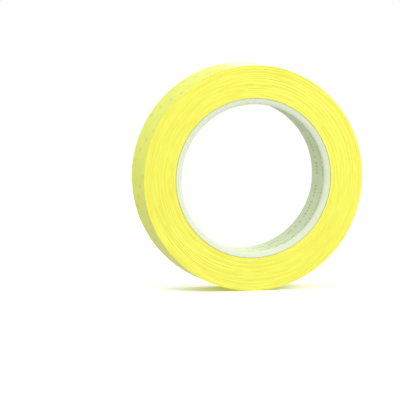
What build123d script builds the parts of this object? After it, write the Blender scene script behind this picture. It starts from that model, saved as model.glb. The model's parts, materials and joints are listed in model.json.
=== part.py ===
"""Roll of yellow polyester film tape on a spiral-wound paper core.

The roll's axis is Y and its origin is the centre of the core's bore at mid-width, so the roll stands on its
tread with +Z up. Seen from the front, which is the -Y side, the tape is wound clockwise from the core outwards.
The winding is one strip, and its turns hold each other by their adhesive, so all but the last turn are one
solid. The last turn follows a true spiral: the surface steps down by one thickness of tape at the free end.
The free end is a tail that peels off. A film bends everywhere, so the tail is cut into links with a hinge line
between each two.
The core is six plies glued one on the other. Each ply is a strip wound in a helix, butted edge to edge, which
leaves a helical seam right through that ply. The core is cut to length with a bevel round each end of its bore.

All lengths are in millimetres and all angles in degrees.
"""

from build123d import *

import os
from math import asin, cos, degrees, pi, radians, sin, sqrt, tan

# Tape: what the maker states of it
TAPE_WIDTH = 25.4
TAPE_THICKNESS = 0.08
TAPE_LENGTH = 66000.0

# Core: a 3 inch bore, and the plies from the bore outwards
CORE_BORE = 76.2
LINER_THICKNESS = 0.4
BOARD_PLIES = 4
BOARD_THICKNESS = 0.65
COVER_THICKNESS = 0.26

# Bevel that the cutting knife leaves round both ends of the bore
BEVEL_DEPTH = 0.8

# Ply strips and their seams
STRIP_WIDTH = 100.0
SEAM_GAP = 0.2
LINER_SEAM_ANGLE = 150.0
SEAM_STAGGER = 75.0
SEAM_RUN_OUT = 2.0
BLADE_RADIAL_MARGIN = 0.2

# Free end, as angles round the axis from +X towards +Z
FREE_END_ANGLE = 70.0
TAIL_LINKS = 5
LINK_ANGLE = 7.0
LINK_GAP = 0.04
TAIL_LIFT = 0.03

BORE_RADIUS = CORE_BORE / 2
CORE_WALL = LINER_THICKNESS + BOARD_PLIES * BOARD_THICKNESS + COVER_THICKNESS
CORE_RADIUS = BORE_RADIUS + CORE_WALL
BEVEL_WALL = LINER_THICKNESS + BOARD_THICKNESS
ROLL_RADIUS = sqrt(CORE_RADIUS**2 + TAPE_LENGTH * TAPE_THICKNESS / pi)
PEEL_ANGLE = FREE_END_ANGLE + TAIL_LINKS * LINK_ANGLE


def along_free_end(distance):
    """The point at a signed distance from the axis, on the line through the axis and the free end."""
    angle = radians(FREE_END_ANGLE)
    return (distance * cos(angle), distance * sin(angle))


def first_half(end_radius):
    """Centre and radius of the first half of a turn that ends end_radius from the axis."""
    return along_free_end(-TAPE_THICKNESS / 4), end_radius - 0.75 * TAPE_THICKNESS


def second_half(end_radius):
    """Centre and radius of the second half of that turn. The two arcs meet with one tangent."""
    return along_free_end(TAPE_THICKNESS / 4), end_radius - 0.25 * TAPE_THICKNESS


def on_circle(circle, angle):
    """The point of a (centre, radius) circle at an angle about its own centre."""
    (x, y), radius = circle
    return (x + radius * cos(radians(angle)), y + radius * sin(radians(angle)))


def across_the_roll(face):
    """The face, drawn as X and Z, pulled out to the tape's width both ways along Y."""
    return extrude(Plane.XZ * face, amount=TAPE_WIDTH / 2, both=True)


def wound_tape():
    """Every turn but the last, from the core out, with the step where the last turn begins."""
    end_radius = ROLL_RADIUS - TAPE_THICKNESS
    first, second = first_half(end_radius), second_half(end_radius)
    outline = [
        CenterArc(*first, FREE_END_ANGLE, -180),
        CenterArc(*second, FREE_END_ANGLE - 180, -180),
        Line(on_circle(second, FREE_END_ANGLE), on_circle(first, FREE_END_ANGLE)),
    ]
    return across_the_roll(make_face(outline) - Circle(CORE_RADIUS))


def outer_turn():
    """The last turn, as far as the line where the tail peels off."""
    outer, inner = ROLL_RADIUS, ROLL_RADIUS - TAPE_THICKNESS
    second_size = PEEL_ANGLE - FREE_END_ANGLE - 180
    outline = []
    for end_radius in (outer, inner):
        outline.append(CenterArc(*first_half(end_radius), FREE_END_ANGLE, -180))
        outline.append(CenterArc(*second_half(end_radius), FREE_END_ANGLE - 180, second_size))
    for half, angle in ((first_half, FREE_END_ANGLE), (second_half, PEEL_ANGLE)):
        outline.append(Line(on_circle(half(outer), angle), on_circle(half(inner), angle)))
    return across_the_roll(make_face(outline))


def tail_link(number):
    """One link of the tail, counted from the peel line. A small lift keeps it clear of the turn below."""
    centre, outer_radius = second_half(ROLL_RADIUS + TAIL_LIFT)
    outer, inner = (centre, outer_radius), (centre, outer_radius - TAPE_THICKNESS)
    gap_angle = degrees(LINK_GAP / outer_radius)
    start = PEEL_ANGLE - number * LINK_ANGLE - gap_angle
    size = gap_angle - LINK_ANGLE
    outline = [
        CenterArc(*outer, start, size),
        CenterArc(*inner, start, size),
        Line(on_circle(outer, start), on_circle(inner, start)),
        Line(on_circle(outer, start + size), on_circle(inner, start + size)),
    ]
    return across_the_roll(make_face(outline))


def seam_blade(inner_radius, thickness, angle):
    """A thin helical blade that cuts one ply's butt seam, at an angle about the axis at mid-width."""
    radius = inner_radius + thickness / 2
    circumference = 2 * pi * radius
    pitch = circumference * tan(asin(STRIP_WIDTH / circumference))
    height = TAPE_WIDTH + 2 * SEAM_RUN_OUT
    path = Helix(pitch=pitch, height=height, radius=radius)
    start = path.position_at(0)
    section = Plane(origin=start, x_dir=Vector(start.X, start.Y, 0), z_dir=path.tangent_at(0))
    blade = sweep(section * Rectangle(thickness + 2 * BLADE_RADIAL_MARGIN, SEAM_GAP), path, is_frenet=True)
    half_turn = 180 * height / pitch
    return Rot(X=90) * Rot(Z=angle - half_turn) * Pos(Z=-height / 2) * blade


def bore_bevels():
    """What the knife takes off the edges of the bore: a ring at each end, pointed at the bevel's line."""
    edge = -TAPE_WIDTH / 2
    corners = [
        (BORE_RADIUS - BEVEL_WALL, edge + 2 * BEVEL_DEPTH),
        (BORE_RADIUS + 2 * BEVEL_WALL, edge - BEVEL_DEPTH),
        (BORE_RADIUS - BEVEL_WALL, edge - BEVEL_DEPTH),
    ]
    front = revolve(make_face(Polyline(*corners, close=True)), Axis.Y)
    return front + mirror(front, Plane.XZ)


def core_ply(inner_radius, thickness, seam_angle):
    """One ply of the core, with its seam. The bevels reach the liner and the first board ply only."""
    ring = across_the_roll(Circle(inner_radius + thickness) - Circle(inner_radius))
    if inner_radius < BORE_RADIUS + BEVEL_WALL:
        ring -= bore_bevels()
    return ring - seam_blade(inner_radius, thickness, seam_angle)


def core_plies():
    """Each ply's node name and solid, from the bore outwards."""
    plies = [("core_liner", LINER_THICKNESS)]
    plies += [(f"core_board_{i + 1}", BOARD_THICKNESS) for i in range(BOARD_PLIES)]
    plies.append(("core_cover", COVER_THICKNESS))
    radius = BORE_RADIUS
    made = {}
    for i, (name, thickness) in enumerate(plies):
        made[name] = core_ply(radius, thickness, LINER_SEAM_ANGLE + i * SEAM_STAGGER)
        radius += thickness
    return made


def main():
    os.makedirs("parts", exist_ok=True)
    parts = core_plies()
    parts["wound_tape"] = wound_tape()
    parts["outer_turn"] = outer_turn()
    for i in range(TAIL_LINKS):
        parts[f"tail_{i + 1}"] = tail_link(i)
    for name, shape in parts.items():
        export_step(shape, f"parts/{name}.step")
        print(f"{name}: {len(shape.solids())} solid, {shape.volume:.2f} mm3, valid {shape.is_valid}")
    print(f"roll diameter {2 * ROLL_RADIUS:.3f}, core wall {CORE_WALL:.3f}")


main()
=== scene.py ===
"""Looks of a roll of yellow polyester film tape on a spiral-wound paper core, built round its CAD frame.

The roll's axis is Y and its front is the -Y side. Angles round the axis go from +X towards +Z. Seen from the
front, the tape is wound clockwise from the core outwards, and its free end is at the top, on the right.
Lengths are in metres, as MM makes them.
"""

from math import asin, atan2, cos, degrees, hypot, pi, radians, sin, tan

import bmesh
import bpy
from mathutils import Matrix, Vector, noise
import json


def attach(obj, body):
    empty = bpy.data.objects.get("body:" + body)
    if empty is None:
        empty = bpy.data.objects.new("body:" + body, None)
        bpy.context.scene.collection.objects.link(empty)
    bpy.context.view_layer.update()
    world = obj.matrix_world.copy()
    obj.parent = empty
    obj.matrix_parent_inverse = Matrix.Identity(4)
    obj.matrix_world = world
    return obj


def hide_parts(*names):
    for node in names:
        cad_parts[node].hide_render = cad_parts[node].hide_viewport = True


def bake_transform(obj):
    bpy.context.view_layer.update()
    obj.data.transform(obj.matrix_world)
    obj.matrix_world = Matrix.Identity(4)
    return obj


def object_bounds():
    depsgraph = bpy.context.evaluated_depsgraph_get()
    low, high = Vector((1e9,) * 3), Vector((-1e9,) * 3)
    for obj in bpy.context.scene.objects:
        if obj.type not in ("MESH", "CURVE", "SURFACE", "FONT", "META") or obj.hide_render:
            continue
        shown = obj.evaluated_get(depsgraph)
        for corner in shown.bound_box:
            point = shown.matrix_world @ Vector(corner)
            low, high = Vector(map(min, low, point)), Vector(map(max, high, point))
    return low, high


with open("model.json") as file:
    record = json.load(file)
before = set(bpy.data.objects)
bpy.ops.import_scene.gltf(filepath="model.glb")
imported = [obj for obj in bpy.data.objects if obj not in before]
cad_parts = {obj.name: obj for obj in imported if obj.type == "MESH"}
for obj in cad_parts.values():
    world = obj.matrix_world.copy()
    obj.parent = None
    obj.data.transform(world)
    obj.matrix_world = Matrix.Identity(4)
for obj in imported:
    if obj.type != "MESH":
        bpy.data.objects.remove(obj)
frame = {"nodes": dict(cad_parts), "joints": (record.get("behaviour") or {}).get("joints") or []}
cad_low, cad_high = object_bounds()

# ---------------------------------------------------------------------------------------------------------
# Core liner. The innermost ply of the core is a strip of smooth white paper, wound in a helix and butted
# edge to edge, which leaves one slanting seam. It carries the print that shows in the bore. The knife that
# cuts the core to length leaves a bevel round each end of the bore.

MM = 0.001
SEGMENTS = 240  # facets round the roll
PAPER_EDGE_ROUNDING = 0.04 * MM
STRIP_WIDTH = 100 * MM
SEAM_GAP = 0.2 * MM
LINER_SEAM_ANGLE = 150
BEVEL_DEPTH = 1.0 * MM
RIM_FALL = 0.5 * MM  # how far the rim falls from the tape to the bevel
TWIST_CUTS = 23  # edge loops across a ply, which carry its slant

half_width = cad_high.y


def radii(node):
    """The inner and outer radius of a CAD node that lies round the roll's axis."""
    distances = [hypot(v.co.x, v.co.z) for v in frame["nodes"][node].data.vertices]
    return min(distances), max(distances)


bore_radius = radii("core_liner")[0]
bevel_wall = radii("core_board_1")[1] - bore_radius
core_radius = radii("core_cover")[1]


def end_depth(radius):
    """How far a ply's end is cut back at a radius: the rim falls gently, and then the bevel falls."""
    bevel_edge = bore_radius + bevel_wall
    if radius > bevel_edge:
        return RIM_FALL * (core_radius - radius) / (core_radius - bevel_edge)
    return RIM_FALL + (BEVEL_DEPTH - RIM_FALL) * (bevel_edge - radius) / bevel_wall


def start_section(name, inner, outer):
    """A rectangle in the XY plane, as wide as the roll, as the section of a ring. It stays in edit mode."""
    bpy.ops.object.select_all(action="DESELECT")
    bpy.ops.mesh.primitive_plane_add(size=1, location=((inner + outer) / 2, 0, 0))
    piece = bpy.context.object
    piece.name = piece.data.name = name
    piece.scale = (outer - inner, 2 * half_width, 1)
    bpy.ops.object.transform_apply(location=True, rotation=True, scale=True)
    bpy.ops.object.mode_set(mode="EDIT")
    return piece


def select_only(piece, kind, wanted):
    """In edit mode, selects the vertices, edges or faces that a test wants, and nothing else."""
    bpy.ops.mesh.select_mode(type=kind)
    bpy.ops.mesh.select_all(action="DESELECT")
    mesh = bmesh.from_edit_mesh(piece.data)
    for element in {"VERT": mesh.verts, "EDGE": mesh.edges, "FACE": mesh.faces}[kind]:
        if wanted(element):
            element.select_set(True)
    bmesh.update_edit_mesh(piece.data)


def finish_ring(piece, smooth_angle=30):
    """Makes all faces point outwards, leaves edit mode and shades the round faces smooth."""
    bpy.ops.mesh.select_all(action="SELECT")
    bpy.ops.mesh.normals_make_consistent(inside=False)
    bpy.ops.object.mode_set(mode="OBJECT")
    bpy.ops.object.shade_smooth_by_angle(angle=radians(smooth_angle))
    return piece


def turn(piece, angle):
    """Turns a piece about the roll's axis, from +X towards +Z, and keeps the turn in its mesh."""
    piece.rotation_euler = (0, -radians(angle), 0)
    bpy.ops.object.transform_apply(location=False, rotation=True, scale=False)


def paper_ply(name, node, seam_angle, set_back=0.0):
    """One ply of the core: a section spun round to the seam, then twisted so that the seam is a helix."""
    inner, outer = radii(node)
    piece = start_section(name, inner, outer)
    for vertex in bmesh.from_edit_mesh(piece.data).verts:
        vertex.co.y -= (1 if vertex.co.y > 0 else -1) * (end_depth(vertex.co.x) + set_back)
    bpy.ops.mesh.select_all(action="SELECT")
    bpy.ops.mesh.bevel(offset=PAPER_EDGE_ROUNDING, segments=2, affect="VERTICES")
    select_only(piece, "EDGE", lambda edge: edge.calc_length() > half_width)
    bpy.ops.mesh.subdivide(number_cuts=TWIST_CUTS)
    bpy.ops.mesh.select_all(action="SELECT")
    middle = (inner + outer) / 2
    gap_angle = SEAM_GAP / middle
    bpy.ops.mesh.spin(steps=SEGMENTS, angle=2 * pi - gap_angle, center=(0, 0, 0), axis=(0, 1, 0))
    finish_ring(piece)
    turn(piece, seam_angle + degrees(gap_angle) / 2)
    circumference = 2 * pi * middle
    pitch = circumference * tan(asin(STRIP_WIDTH / circumference))
    twist = piece.modifiers.new("helix", "SIMPLE_DEFORM")
    twist.deform_method = "TWIST"
    twist.deform_axis = "Y"
    twist.angle = 2 * pi * 2 * half_width / pitch
    bpy.ops.object.modifier_apply(modifier=twist.name)
    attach(piece, "roll")
    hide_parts(node)
    return piece


def linear(colour):
    """A six-digit sRGB hex colour as the linear RGBA that a shader takes."""
    channels = [int(colour[i : i + 2], 16) / 255 for i in (0, 2, 4)]
    return [c / 12.92 if c <= 0.04045 else ((c + 0.055) / 1.055) ** 2.4 for c in channels] + [1]


def add(tree, kind, inputs, **settings):
    """Adds a node. Its inputs go by name or number, and each is a value or another node's output."""
    node = tree.nodes.new("ShaderNode" + kind)
    for name, setting in settings.items():
        setattr(node, name, setting)
    for socket, given in inputs.items():
        if isinstance(given, bpy.types.NodeSocket):
            tree.links.new(given, node.inputs[socket])
        else:
            node.inputs[socket].default_value = given
    return node.outputs


def start_material(name, roughness, gloss, ior=1.45):
    """A material with the finish that is the same all over it, its node tree and its shader."""
    material = bpy.data.materials.new(name)
    material.use_nodes = True
    shader = material.node_tree.nodes["Principled BSDF"]
    shader.inputs["Roughness"].default_value = roughness
    shader.inputs["Specular IOR Level"].default_value = gloss
    shader.inputs["IOR"].default_value = ior
    return material, material.node_tree, shader


def finish_material(tree, shader, colour, height, depth):
    """Gives the shader its colour, and lets a height pattern tilt the surface by a real depth."""
    tree.links.new(colour, shader.inputs["Base Color"])
    tilted = add(tree, "Bump", {"Height": height, "Distance": depth})
    tree.links.new(tilted["Normal"], shader.inputs["Normal"])


def round_the_axis(tree):
    """The place, radius, angle and place across the roll, and a vector that holds heading and radius."""
    place = add(tree, "TexCoord", {})["Object"]
    apart = add(tree, "SeparateXYZ", {0: place})
    flat = add(tree, "CombineXYZ", {"X": apart["X"], "Z": apart["Z"]})[0]
    radius = add(tree, "VectorMath", {0: flat}, operation="LENGTH")["Value"]
    heading = add(tree, "VectorMath", {0: flat}, operation="NORMALIZE")["Vector"]
    outwards = add(tree, "CombineXYZ", {"Y": radius})[0]
    wound = add(tree, "VectorMath", {0: heading, 1: outwards}, operation="ADD")["Vector"]
    angle = add(tree, "Math", {0: apart["Z"], 1: apart["X"]}, operation="ARCTAN2")[0]
    return place, radius, angle, apart["Y"], wound


PAPER_FIBRE = 0.35 * MM  # coarser than real fibres, so that they show
PAPER_FIBRE_DEPTH = 0.02 * MM
PAPER_CLOUD = 9 * MM
FRONT_ROW = (-8.8 * MM, 2.2 * MM, 180)  # place across the bore, height of its bars, and bars round the bore
MIDDLE_ROW = (2.2 * MM, 3.0 * MM, 140)
BAR_SHARE = 0.55  # of a bar's pitch that is inked
SHORTEST_BAR = 0.6  # of its row's height
BARS_TO_A_GROUP = 7
GROUP_SHARE = 0.8  # of a group's pitch that has bars
BARS_LEFT_OUT = 0.12
INK_COVER = 0.6
INK_REACH = 0.05 * MM  # how far behind the bore's surface a point may lie and still be inked


def printed_row(tree, angle, across, centre, height, bars):
    """A row of short bars of uneven height, in groups with gaps: a plain mark with nothing to read."""
    along = add(tree, "Math", {0: angle, 1: bars / (2 * pi)}, operation="MULTIPLY")[0]
    number = add(tree, "Math", {0: along}, operation="FLOOR")[0]
    chance = add(tree, "TexWhiteNoise", {"W": number}, noise_dimensions="1D")["Value"]
    group = add(tree, "Math", {0: along, 1: BARS_TO_A_GROUP}, operation="DIVIDE")[0]
    group = add(tree, "Math", {0: group}, operation="FRACT")[0]
    in_group = add(tree, "Math", {0: group, 1: GROUP_SHARE}, operation="LESS_THAN")[0]
    within = add(tree, "Math", {0: along}, operation="FRACT")[0]
    bar = add(tree, "Math", {0: within, 1: BAR_SHARE}, operation="LESS_THAN")[0]
    kept = add(tree, "Math", {0: chance, 1: BARS_LEFT_OUT}, operation="GREATER_THAN")[0]
    off_centre = add(tree, "Math", {0: across, 1: centre}, operation="SUBTRACT")[0]
    off_centre = add(tree, "Math", {0: off_centre}, operation="ABSOLUTE")[0]
    shortest = SHORTEST_BAR * height / 2
    reach = {0: chance, 1: height / 2 - shortest, 2: shortest}
    reach = add(tree, "Math", reach, operation="MULTIPLY_ADD")[0]
    inked = add(tree, "Math", {0: off_centre, 1: reach}, operation="LESS_THAN")[0]
    for share in (bar, kept, in_group):
        inked = add(tree, "Math", {0: inked, 1: share}, operation="MULTIPLY")[0]
    return inked


def liner_paper():
    """Bleached machine-finished paper: matt and close, a little cloudy, with a faint grey-green print, and a
    yellow-green tint that is painted reflection of the tape's yellow light.
    """
    material, tree, shader = start_material("MachineFinishedPaperPaintedYellowTint", roughness=0.6, gloss=0.4)
    place, radius, angle, across, _ = round_the_axis(tree)
    cloud = add(tree, "TexNoise", {"Vector": place, "Scale": 1 / PAPER_CLOUD, "Detail": 3.0})[0]
    tone = add(tree, "MapRange", {"Value": cloud, "From Min": 0.3, "From Max": 0.7})[0]
    # The paper is white. The yellow-green tint of these two colours is painted reflection of the tape's
    # yellow light, and the cloudy change between them is the paper's own.
    paper = add(tree, "Mix", {0: tone, 6: linear("C2CEA6"), 7: linear("CCD8B4")}, data_type="RGBA")[2]
    front_row = printed_row(tree, angle, across, *FRONT_ROW)
    middle_row = printed_row(tree, angle, across, *MIDDLE_ROW)
    inked = add(tree, "Math", {0: front_row, 1: middle_row}, operation="MAXIMUM")[0]
    on_the_bore = add(tree, "Math", {0: radius, 1: bore_radius + INK_REACH}, operation="LESS_THAN")[0]
    inked = add(tree, "Math", {0: inked, 1: on_the_bore}, operation="MULTIPLY")[0]
    inked = add(tree, "Math", {0: inked, 1: INK_COVER}, operation="MULTIPLY")[0]
    colour = add(tree, "Mix", {0: inked, 6: paper, 7: linear("87926C")}, data_type="RGBA")[2]
    fibre = add(tree, "TexNoise", {"Vector": place, "Scale": 1 / PAPER_FIBRE, "Detail": 4.0})[0]
    finish_material(tree, shader, colour, fibre, PAPER_FIBRE_DEPTH)
    return material


liner = paper_ply("liner", "core_liner", LINER_SEAM_ANGLE)
liner.data.materials.append(liner_paper())

# ---------------------------------------------------------------------------------------------------------
# Board plies. Four thicker strips of bleached board give the core its strength. Each is wound over the one
# below with its seam a step further round, and glued. Only their cut ends show, as the rim round the bore.

BOARD_PLIES = 4
SEAM_STAGGER = 75
BOARD_GRAIN = 0.5 * MM
BOARD_GRAIN_DEPTH = 0.05 * MM


def cut_edge(name, low, high):
    """Bleached board cut with a knife: matt, short-fibred and a little uneven in tone, with no shine."""
    material, tree, shader = start_material(name, roughness=0.8, gloss=0.3)
    place = add(tree, "TexCoord", {})["Object"]
    grain = {"Vector": place, "Scale": 1 / BOARD_GRAIN, "Detail": 5.0, "Roughness": 0.65}
    grain = add(tree, "TexNoise", grain)[0]
    tone = add(tree, "MapRange", {"Value": grain, "From Min": 0.32, "From Max": 0.68})[0]
    colour = add(tree, "Mix", {0: tone, 6: linear(low), 7: linear(high)}, data_type="RGBA")[2]
    finish_material(tree, shader, colour, grain, BOARD_GRAIN_DEPTH)
    return material


board = cut_edge("BleachedBoardCutEdge", "C2C9B2", "D3DAC6")
for number in range(1, BOARD_PLIES + 1):
    seam_angle = LINER_SEAM_ANGLE + number * SEAM_STAGGER
    ply = paper_ply(f"board_ply_{number}", f"core_board_{number}", seam_angle)
    ply.data.materials.append(board)

# ---------------------------------------------------------------------------------------------------------
# Cover. One thin sheet of white paper closes the core, and gives the first turn of tape a smooth surface
# to stick to. It is the last ply, and only its cut ends show, coloured a darker olive as painted shade.

COVER_SET_BACK = 0.3 * MM  # the soft sheet is pressed back, and leaves a fine groove beside the tape

seam_angle = LINER_SEAM_ANGLE + (BOARD_PLIES + 1) * SEAM_STAGGER
cover = paper_ply("cover", "core_cover", seam_angle, COVER_SET_BACK)
# The olive colours are painted shade for the shadow in the groove beside the tape. The sheet itself is white,
# and the groove is real.
cover.data.materials.append(cut_edge("CoverPaperCutEdgePaintedGrooveShade", "ACB48C", "BCC49E"))

# ---------------------------------------------------------------------------------------------------------
# Wound turns. Some two hundred turns of one strip of film, slit to width with a knife, lie one on another.
# No turn lies quite flush with the next, so the sides of the roll are finely ringed. Each ring made here
# stands for three turns, because a single turn of 0.08 mm is too fine to show.

TAPE_THICKNESS = 0.08 * MM
FREE_END_ANGLE = 70
TURNS_PER_RING = 3
GROOVE_SHARE = 0.2  # of a ring's width, that the slope down to the next ring takes
WANDER = 0.045 * MM  # how far a turn strays along the axis
SLOW_DRIFT = 0.21  # how soon the slow wander changes from one ring to the next
QUICK_DRIFT = 0.83
QUICK_ARCS = 2.6  # how often the quick wander changes as a ring goes round
FLUSH_RINGS = 3  # rings at each end over which the wander sets in
ANGLE_SLACK = 0.5  # degrees that a vertex may lie before the place where its piece starts
FINE_RINGS = 0.3 * MM
MEDIUM_RINGS = 0.9 * MM
BROAD_RINGS = 3.4 * MM
RING_DEPTH = 0.02 * MM

roll_radius = radii("outer_turn")[1]
flat_radius = roll_radius - 2 * TAPE_THICKNESS  # where the last ring ends and the last turn but one begins
rings = round((flat_radius - core_radius) / (TURNS_PER_RING * TAPE_THICKNESS))
ring_width = (flat_radius - core_radius) / rings


def turned(place, least=0.0):
    """How many degrees a place lies clockwise of the free end, as a number from least to least + 360."""
    clockwise = FREE_END_ANGLE - degrees(atan2(place.z, place.x))
    return (clockwise - least) % 360 + least


def set_radius(vertex, radius):
    """Moves a vertex straight out or in to a radius."""
    factor = radius / hypot(vertex.co.x, vertex.co.z)
    vertex.co.x *= factor
    vertex.co.z *= factor


def ring_profile(step):
    """Radius of a section's vertex: each ring is a flat with half a groove on each side."""
    ring, side = divmod(step, 2)
    if step in (0, 2 * rings - 1):
        return core_radius if step == 0 else flat_radius
    return core_radius + ring_width * (ring + (1 - GROOVE_SHARE / 2 if side else GROOVE_SHARE / 2))


def stray(ring, angle):
    """How far a ring's turns stray along the axis at an angle. The first and last rings are flush."""
    around = Vector((0, cos(angle), sin(angle)))
    slow = noise.noise(around + Vector((ring * SLOW_DRIFT, 0, 0)))
    quick = noise.noise(around * QUICK_ARCS + Vector((ring * QUICK_DRIFT + 40, 0, 0)))
    flush = min(1, ring / FLUSH_RINGS, (rings - 1 - ring) / FLUSH_RINGS)
    return max(0, flush) * WANDER * (1.1 * slow + 1.3 * quick)


def wound_turns():
    """All turns but the last: a section with a step for each ring, spun clockwise from the free end."""
    last = roll_radius + TAPE_THICKNESS
    piece = start_section("wound_turns", core_radius, last)
    bpy.ops.mesh.delete(type="ONLY_FACE")
    select_only(piece, "EDGE", lambda edge: abs(edge.verts[0].co.y - edge.verts[1].co.y) < MM)
    bpy.ops.mesh.subdivide(number_cuts=2 * rings - 1)
    spacing = (last - core_radius) / (2 * rings)
    for vertex in bmesh.from_edit_mesh(piece.data).verts:
        step = round((vertex.co.x - core_radius) / spacing)
        vertex.co.x = ring_profile(step) if step < 2 * rings else last
    bpy.ops.object.mode_set(mode="OBJECT")
    turn(piece, FREE_END_ANGLE)
    bpy.ops.object.mode_set(mode="EDIT")
    bpy.ops.mesh.select_all(action="SELECT")
    once_round = {"steps": SEGMENTS, "angle": -2 * pi, "use_auto_merge": False}
    bpy.ops.mesh.spin(center=(0, 0, 0), axis=(0, 1, 0), **once_round)
    for vertex in bmesh.from_edit_mesh(piece.data).verts:
        if hypot(vertex.co.x, vertex.co.z) > roll_radius:
            share = turned(vertex.co, -ANGLE_SLACK) / 360
            share = 1 if vertex.select else share  # the spin leaves its end selected
            set_radius(vertex, flat_radius + TAPE_THICKNESS * share)
    bpy.ops.mesh.select_all(action="SELECT")
    bpy.ops.mesh.remove_doubles(threshold=1e-7)
    bpy.ops.mesh.select_all(action="DESELECT")
    bpy.ops.mesh.select_non_manifold()
    bpy.ops.mesh.edge_face_add()
    for vertex in bmesh.from_edit_mesh(piece.data).verts:
        radius = hypot(vertex.co.x, vertex.co.z)
        ring = min(rings - 1, int((radius - core_radius) / ring_width))
        vertex.co.y += stray(ring, atan2(vertex.co.z, vertex.co.x))
    return finish_ring(piece, smooth_angle=50)


def slit_edges():
    """Slit polyester film seen edge on: satin, deep yellow, with fine rings where turns stand in or out."""
    material, tree, shader = start_material("PolyesterFilmSlitEdges", roughness=0.42, gloss=0.3, ior=1.5)
    wound = round_the_axis(tree)[-1]

    def rings_at(pitch, arcs):
        """A pattern drawn out into arcs round the axis, at a real pitch from one ring to the next."""
        stretch = (arcs, 1 / pitch, arcs)
        drawn_out = add(tree, "VectorMath", {0: wound, 1: stretch}, operation="MULTIPLY")["Vector"]
        return add(tree, "TexNoise", {"Vector": drawn_out, "Scale": 1.0, "Detail": 2.0})[0]

    fine, medium, broad = rings_at(FINE_RINGS, 9), rings_at(MEDIUM_RINGS, 5), rings_at(BROAD_RINGS, 2)
    tone = add(tree, "Math", {0: fine, 1: 0.35, 2: 0.0}, operation="MULTIPLY_ADD")[0]
    tone = add(tree, "Math", {0: medium, 1: 0.45, 2: tone}, operation="MULTIPLY_ADD")[0]
    tone = add(tree, "Math", {0: broad, 1: 0.20, 2: tone}, operation="MULTIPLY_ADD")[0]
    tone = add(tree, "MapRange", {"Value": tone, "From Min": 0.38, "From Max": 0.62})[0]
    colour = add(tree, "Mix", {0: tone, 6: linear("D5D146"), 7: linear("E0DE58")}, data_type="RGBA")[2]
    height = add(tree, "Math", {0: fine, 1: medium}, operation="ADD")[0]
    finish_material(tree, shader, colour, height, RING_DEPTH)
    return material


turns = wound_turns()
turns.data.materials.append(slit_edges())
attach(turns, "roll")
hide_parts("wound_tape")

# ---------------------------------------------------------------------------------------------------------
# Last turn. The outermost turn of film, 0.08 mm thick, lies smooth and glossy round the roll. Air trapped
# under it shows as short dull marks, in slanting rows where the rewinder's roller pressed the turn down.

HINGE_PLACES = [Vector(joint["pos_m"]) for joint in frame["joints"]]
MARK_ROWS = 15  # round the roll
MARK_PITCH = 6.0 * MM  # across the roll, within a row
MARK_SLANT = 0.95  # how far a row runs back round the roll for each step across it
MARK_WIDTH = 2.2 * MM  # round the roll
MARK_LENGTH = 5.2 * MM  # across it
MARK_COVER = 0.26
FILM_WAVES = 7 * MM
FILM_WAVE_DEPTH = 0.04 * MM

peel_angle = degrees(atan2(HINGE_PLACES[0].z, HINGE_PLACES[0].x))


def unroll(piece):
    """Gives a piece a UV map laid out as the film is when unwound: turns along it, and its width across."""
    unrolled = piece.data.uv_layers.new(name="unrolled")
    for face in piece.data.polygons:
        half_turn_before = turned(face.center) - 180
        for loop in face.loop_indices:
            place = piece.data.vertices[piece.data.loops[loop].vertex_index].co
            turns_along = turned(place, half_turn_before) / 360
            unrolled.data[loop].uv = (turns_along, place.y / (2 * half_width) + 0.5)


def film(name, first, last, lift=lambda place: 0.0, fewest_steps=4):
    """A stretch of the last turn, between two places in degrees clockwise of where that turn begins."""
    piece = start_section(name, flat_radius, flat_radius + TAPE_THICKNESS)
    bpy.ops.object.mode_set(mode="OBJECT")
    turn(piece, FREE_END_ANGLE - first)
    bpy.ops.object.mode_set(mode="EDIT")
    bpy.ops.mesh.select_all(action="SELECT")
    steps = max(fewest_steps, round((last - first) * SEGMENTS / 360))
    bpy.ops.mesh.spin(steps=steps, angle=-radians(last - first), center=(0, 0, 0), axis=(0, 1, 0))
    for vertex in bmesh.from_edit_mesh(piece.data).verts:
        place = turned(vertex.co, first - ANGLE_SLACK)
        radius = hypot(vertex.co.x, vertex.co.z) + TAPE_THICKNESS * place / 360
        set_radius(vertex, radius + lift(place))
    finish_ring(piece)
    unroll(piece)
    return piece


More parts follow.
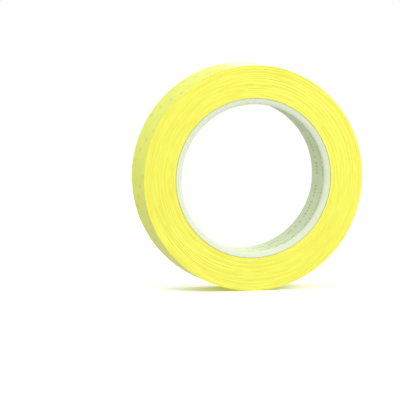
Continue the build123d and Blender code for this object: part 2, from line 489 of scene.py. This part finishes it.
def film_face():
    """Smooth side of polyester film: softly glossy, greener than the edges, with faint waves and marks."""
    material, tree, shader = start_material("PolyesterFilmSmoothSide", roughness=0.32, gloss=0.2, ior=1.5)
    unrolled = add(tree, "UVMap", {}, uv_map="unrolled")[0]
    circumference = 2 * pi * roll_radius
    row_pitch = circumference / MARK_ROWS
    flat_size = (circumference, 2 * half_width, 1)
    place = add(tree, "VectorMath", {0: unrolled, 1: flat_size}, operation="MULTIPLY")["Vector"]
    apart = add(tree, "SeparateXYZ", {0: place})
    step = add(tree, "Math", {0: apart["Y"], 1: MARK_PITCH}, operation="SNAP")[0]
    slanted = add(tree, "Math", {0: step, 1: MARK_SLANT, 2: apart["X"]}, operation="MULTIPLY_ADD")[0]
    cloud = add(tree, "TexNoise", {"Vector": place, "Scale": 1 / FILM_WAVES, "Detail": 2.0})[0]
    outside = cloud  # of a mark: it grows as a point leaves the mark, and the cloud makes the edge uneven
    for way, pitch, size in ((slanted, row_pitch, MARK_WIDTH), (apart["Y"], MARK_PITCH, MARK_LENGTH)):
        share = add(tree, "Math", {0: way, 1: pitch}, operation="DIVIDE")[0]
        share = add(tree, "Math", {0: share}, operation="FRACT")[0]
        off = add(tree, "Math", {0: share, 1: 0.5}, operation="SUBTRACT")[0]
        off = add(tree, "Math", {0: off, 1: 2 * pitch / size}, operation="MULTIPLY")[0]
        squared = add(tree, "Math", {0: off, 1: off}, operation="MULTIPLY")[0]
        outside = add(tree, "Math", {0: squared, 1: squared, 2: outside}, operation="MULTIPLY_ADD")[0]
    mark = {"Value": outside, "From Min": 1.1, "From Max": 1.9, "To Min": 1.0, "To Max": 0.0}
    mark = add(tree, "MapRange", mark)[0]
    tone = add(tree, "MapRange", {"Value": cloud, "From Min": 0.3, "From Max": 0.7})[0]
    clear = add(tree, "Mix", {0: tone, 6: linear("D6DD34"), 7: linear("DEE542")}, data_type="RGBA")[2]
    marked = add(tree, "Math", {0: mark, 1: MARK_COVER}, operation="MULTIPLY")[0]
    colour = add(tree, "Mix", {0: marked, 6: clear, 7: linear("B2AA48")}, data_type="RGBA")[2]
    height = add(tree, "Math", {0: mark, 1: 0.3, 2: cloud}, operation="MULTIPLY_ADD")[0]
    finish_material(tree, shader, colour, height, FILM_WAVE_DEPTH)
    return material


smooth_side = film_face()
last_turn = film("last_turn", 0, 360 + FREE_END_ANGLE - peel_angle)
last_turn.data.materials.append(smooth_side)
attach(last_turn, "roll")
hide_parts("outer_turn")

# The turn below has the same smooth side, which shows once the free end is peeled back
turns.data.materials.append(smooth_side)
unroll(turns)
for face in turns.data.polygons:
    on_top = hypot(face.center.x, face.center.z) > flat_radius - TAPE_THICKNESS / 2
    if on_top and abs(face.normal.y) < 0.5:
        face.material_index = 1

# ---------------------------------------------------------------------------------------------------------
# Free end. The last 36 mm of the strip is the tail that a hand picks up and peels back. It is one film,
# cut at the middle of each of its rigid links, and only the piece past the last hinge goes with the last
# link.

TAIL_LIFT = 0.03 * MM
LIFT_REACH = 4  # degrees over which the film rises from the turn below
ROOT_STEPS = 24
CUT_END = 359.95  # just short of where the CAD's last turn ends

links = [joint["child"] for joint in frame["joints"]]
link_angle = (peel_angle - FREE_END_ANGLE) / len(links)
tail_start = 360 + FREE_END_ANGLE - peel_angle


def tail_lift(place):
    """How far the film lies above the turn below, at a place."""
    return TAIL_LIFT * min(1, max(0, (place - tail_start) / LIFT_REACH))


root = film("tail_film_1", tail_start, tail_start + link_angle / 2, tail_lift, ROOT_STEPS)
root.data.materials.append(smooth_side)
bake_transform(root)
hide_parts(links[0])

for number in range(1, len(links)):
    hinge = tail_start + number * link_angle
    first, last = hinge - link_angle / 2, hinge + link_angle / 2
    stretch = film(f"tail_film_{number + 1}", first, last, tail_lift)
    stretch.data.materials.append(smooth_side)
    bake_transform(stretch)
    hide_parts(links[number])

free_end = film("tail_film_end", 360 - link_angle / 2, CUT_END, tail_lift)
free_end.data.materials.append(smooth_side)
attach(free_end, links[-1])

# ---------------------------------------------------------------------------------------------------------
# Studio. The roll stands on a white table in a white room. The main soft light is in front on the right, and
# weaker ones are above and behind. The camera looks from far away, from the left and a little above.

TABLE_SIZE = 1.1
TABLE_SPECKLE = 3 * MM
TABLE_SPECKLE_DEPTH = 0.01 * MM
SKY_LIGHT = 1.0
LOW_LIGHT = 0.78  # the room is a little darker below the horizon
HORIZON = 0.15  # how far above and below the horizon one turns into the other
FOCAL_LENGTH = 554.6
CAMERA_AIM = Vector((-25.16, 0, -11.81)) * MM
CAMERA_DISTANCE = 3176 * MM
CAMERA_LEFT = radians(14.892)  # of straight in front
CAMERA_ABOVE = radians(5.747)

bpy.ops.object.select_all(action="DESELECT")
bpy.ops.mesh.primitive_plane_add(size=TABLE_SIZE, location=(0, 0, cad_low.z))
table = bpy.context.object
table.name = "table"
# Matt laminate: an even white with a barely visible speckle and no clear reflections
white, tree, shader = start_material("MattWhiteLaminate", roughness=0.7, gloss=0.3)
place = add(tree, "TexCoord", {})["Object"]
speckle = add(tree, "TexNoise", {"Vector": place, "Scale": 1 / TABLE_SPECKLE, "Detail": 2.0})[0]
colour = add(tree, "Mix", {0: speckle, 6: linear("F4F4F4"), 7: linear("F6F6F6")}, data_type="RGBA")[2]
finish_material(tree, shader, colour, speckle, TABLE_SPECKLE_DEPTH)
table.data.materials.append(white)
table.visible_diffuse = table.visible_glossy = False  # so that it throws no light up at the roll


def soft_light(name, place, size, watts):
    """A square soft box that faces the roll."""
    lamp = bpy.data.lights.new(name, "AREA")
    lamp.size = size
    lamp.energy = watts
    light = bpy.data.objects.new(name, lamp)
    bpy.context.scene.collection.objects.link(light)
    light.location = place
    light.rotation_mode = "QUATERNION"
    light.rotation_quaternion = Vector(place).to_track_quat("Z", "Y")


soft_light("overhead", (-0.45, 0.1, 1.1), 0.9, 4)
soft_light("front", (0.9, -1.25, 0.75), 0.8, 20)
soft_light("behind", (0.6, 1.4, 0.45), 0.6, 2.5)

world = bpy.data.worlds.new("white_room")
world.use_nodes = True
room = world.node_tree
heading = add(room, "TexCoord", {})["Generated"]
height = add(room, "SeparateXYZ", {0: heading})["Z"]
light = {"Value": height, "From Min": -HORIZON, "From Max": HORIZON}
light |= {"To Min": LOW_LIGHT, "To Max": SKY_LIGHT}
light = add(room, "MapRange", light, interpolation_type="SMOOTHSTEP")[0]
ambient = add(room, "Background", {"Color": (1, 1, 1, 1), "Strength": light})[0]
backdrop = add(room, "Background", {"Color": (1, 1, 1, 1), "Strength": 1.0})[0]
seen = add(room, "LightPath", {})["Is Camera Ray"]
both = add(room, "MixShader", {0: seen, 1: ambient, 2: backdrop})[0]
room.links.new(both, room.nodes["World Output"].inputs["Surface"])
bpy.context.scene.world = world
bpy.context.scene.view_settings.view_transform = "Standard"

camera_lens = bpy.data.cameras.new("camera")
camera_lens.lens = FOCAL_LENGTH
camera = bpy.data.objects.new("camera", camera_lens)
bpy.context.scene.collection.objects.link(camera)
level = cos(CAMERA_ABOVE)
from_aim = Vector((-sin(CAMERA_LEFT) * level, -cos(CAMERA_LEFT) * level, sin(CAMERA_ABOVE)))
camera.location = CAMERA_AIM + from_aim * CAMERA_DISTANCE
camera.rotation_mode = "QUATERNION"
camera.rotation_quaternion = from_aim.to_track_quat("Z", "Y")
bpy.context.scene.camera = camera
